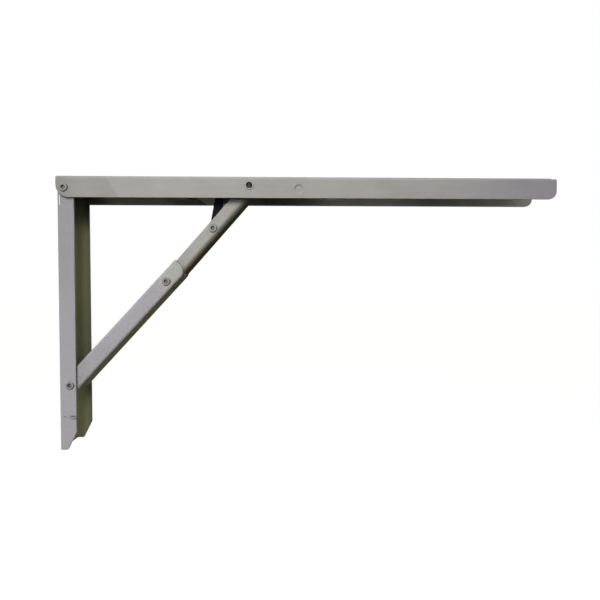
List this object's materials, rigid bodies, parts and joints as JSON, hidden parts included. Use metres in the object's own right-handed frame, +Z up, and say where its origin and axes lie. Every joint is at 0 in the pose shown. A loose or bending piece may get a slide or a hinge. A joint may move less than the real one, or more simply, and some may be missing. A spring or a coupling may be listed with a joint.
{
  "type": "folding shelf bracket",
  "caption": "Steel folding shelf bracket: wall leg, channel arm and a two-part folding strut that locks over centre, with a black release lever",
  "frame": {"origin": "on the wall plane, midway between the upper and lower of the wall leg's outer screw holes, in the bracket's middle plane", "axes": "+X out from the wall along the arm, +Y across the bracket, +Z up"},
  "size_m": [0.5008, 0.0442, 0.2739],
  "materials": {
    "coated_steel": "warm grey powder coat, satin",
    "rivet_steel": "zinc plated, dull",
    "washer_steel": "zinc plated, dull",
    "spring_steel": "drawn wire",
    "black_plastic": "moulded, satin black"
  },
  "bodies": {
    "leg": {"wall_leg": "coated_steel", "arm_rivet_left": "rivet_steel", "arm_rivet_right": "rivet_steel", "arm_washer_left": "washer_steel", "arm_washer_right": "washer_steel", "foot_rivet_left": "rivet_steel", "foot_rivet_right": "rivet_steel", "foot_washer_left": "washer_steel", "foot_washer_right": "washer_steel"},
    "lower_link": {"lower_strut": "coated_steel", "knee_rivet_left": "rivet_steel", "knee_rivet_right": "rivet_steel", "knee_washer_left": "washer_steel", "knee_washer_right": "washer_steel"},
    "upper_link": {"upper_strut": "coated_steel", "lever_rivet": "rivet_steel"},
    "arm": {"support_arm": "coated_steel", "strut_pin": "rivet_steel", "strut_spacer_left": "washer_steel", "strut_spacer_right": "washer_steel"},
    "lever": {"release_lever": "black_plastic", "lever_spring": "spring_steel"}
  },
  "joints": [
    {"name": "foot_hinge", "type": "hinge", "parent": "leg", "child": "lower_link", "pos_m": [0.01074, 0, -0.06673], "axis": [0, -1, 0], "range_deg": [0, 42.32]},
    {"name": "knee_hinge", "type": "hinge", "parent": "lower_link", "child": "upper_link", "pos_m": [0.10673, 0, 0.03751], "axis": [0, -1, 0], "range_deg": [-175.6, 0]},
    {"name": "strut_hinge", "type": "hinge", "parent": "upper_link", "child": "arm", "pos_m": [0.19078, 0, 0.13299], "axis": [0, -1, 0], "range_deg": [0, 47.1]},
    {"name": "lever_hinge", "type": "hinge", "parent": "upper_link", "child": "lever", "pos_m": [0.15339, 0, 0.09143], "axis": [0, -1, 0], "range_deg": [-30.01, 0]}
  ],
  "couplings": [
    {"joint": "knee_hinge", "follows": "foot_hinge", "ratio": -4.1492},
    {"joint": "strut_hinge", "follows": "foot_hinge", "ratio": 1.1128},
    {"joint": "lever_hinge", "follows": "foot_hinge", "ratio": -0.7089}
  ]
}
